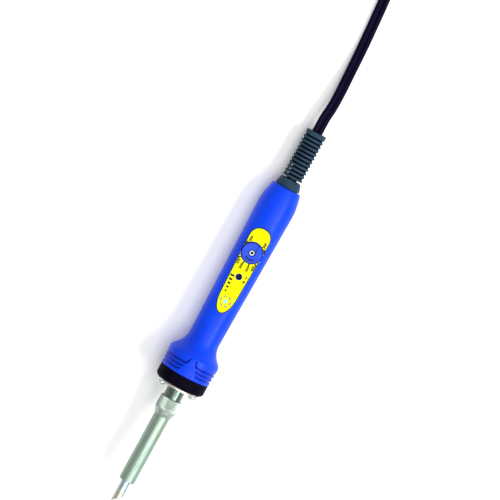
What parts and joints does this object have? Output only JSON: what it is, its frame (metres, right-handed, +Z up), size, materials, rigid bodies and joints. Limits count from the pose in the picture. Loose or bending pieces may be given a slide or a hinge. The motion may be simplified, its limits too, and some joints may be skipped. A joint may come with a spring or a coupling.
{
  "type": "soldering iron",
  "caption": "Temperature-controlled soldering iron: slim grip with a dial, flared guard, steel barrel, bevelled tip and a flat cord folded into a tied hank with its plug.",
  "frame": {"origin": "on the bench under the middle of the iron, without its free cord", "axes": "+X from the cord to the tip, nose raised 2.68 degrees; +Z up, on the side of the dial; +Y to the left of someone looking along +X"},
  "size_m": [0.5794, 0.0507, 0.033],
  "materials": {
    "cord": "satin flexible PVC",
    "relief": "matt soft moulding",
    "handle": "fine satin moulding",
    "label": "printed film",
    "dial": "satin moulding",
    "screw_steel": "plated",
    "shaft_steel": "turned",
    "pot_case": "moulded",
    "board": "solder mask",
    "tray": "moulded",
    "clamp": "moulded",
    "wire": "insulated",
    "lead": "tinned",
    "sleeve": "glass-fibre braid",
    "chip": "epoxy",
    "trimmer": "moulded",
    "rotor": "moulded",
    "brass": "turned",
    "lamp": "clear dome",
    "lens": "polished clear plastic",
    "film_cap": "moulded box",
    "can_cap": "sleeved can",
    "resistor": "coated",
    "varistor": "dipped",
    "ceramic": "fired ceramic",
    "collar": "heat-resisting moulding",
    "mica": "pressed mica",
    "plate": "pressed",
    "neck": "turned",
    "nut": "knurled",
    "pipe": "drawn stainless",
    "tip": "plated with a tinned end",
    "tie": "hook-and-loop strap",
    "plug": "moulded PVC",
    "blade": "nickel-plated"
  },
  "bodies": {
    "root": {"strain_relief": "relief", "cord_entry": "cord", "cord_clamp": "clamp", "clamp_screws": "screw_steel", "supply_wires": "wire", "handle_shell": "handle", "threaded_inserts": "brass", "dial_label": "label", "pot_body": "pot_case", "circuit_board": "board", "board_carrier": "tray", "control_ic": "chip", "trimmer_body": "trimmer", "led_lamp": "lamp", "indicator_lens": "lens", "triac": "chip", "film_capacitor": "film_cap", "filter_capacitor": "can_cap", "resistors": "resistor", "surge_limiter": "varistor", "lead_wires": "lead", "lead_sleeves": "sleeve", "terminal_block": "ceramic", "terminal_screws": "brass", "heater_leads": "lead", "heater_flange": "ceramic", "heater_core": "ceramic", "collar": "collar", "heat_gasket": "mica", "front_plate": "plate", "threaded_neck": "neck", "flange_screws": "screw_steel", "cord_tube": "cord", "cord_hank": "cord", "cord_tie": "tie", "cord_end": "cord", "plug_body": "plug", "plug_blades": "blade"},
    "dial": {"dial_knob": "dial", "knob_screw": "screw_steel", "pot_shaft": "shaft_steel"},
    "trimmer": {"trimmer_rotor": "rotor"},
    "barrel": {"barrel_pipe": "pipe"},
    "nut": {"union_nut": "nut"},
    "tip": {"tip": "tip"}
  },
  "joints": [
    {"name": "dial_turn", "type": "hinge", "parent": "root", "child": "dial", "pos_m": [-0.04655, 0, 0.02159], "axis": [-0.0467, 0, 0.9989], "range_deg": [-130, 123]},
    {"name": "trimmer_turn", "type": "hinge", "parent": "root", "child": "trimmer", "pos_m": [-0.02995, 0, 0.01776], "axis": [-0.0467, 0, 0.9989], "range_deg": [-115, 115]},
    {"name": "barrel_pull", "type": "slide", "parent": "root", "child": "barrel", "axis": [0.9989, 0, 0.0467], "range_m": [0, 0.092]},
    {"name": "nut_turn", "type": "hinge", "parent": "barrel", "child": "nut", "pos_m": [0.05903, 0, 0.01792], "axis": [0.9989, 0, 0.0467], "continuous": true},
    {"name": "tip_pull", "type": "slide", "parent": "root", "child": "tip", "axis": [0.9989, 0, 0.0467], "range_m": [0, 0.046]}
  ],
  "couplings": [
    {"joint": "tip_pull", "follows": "barrel_pull", "ratio": 0.5}
  ]
}
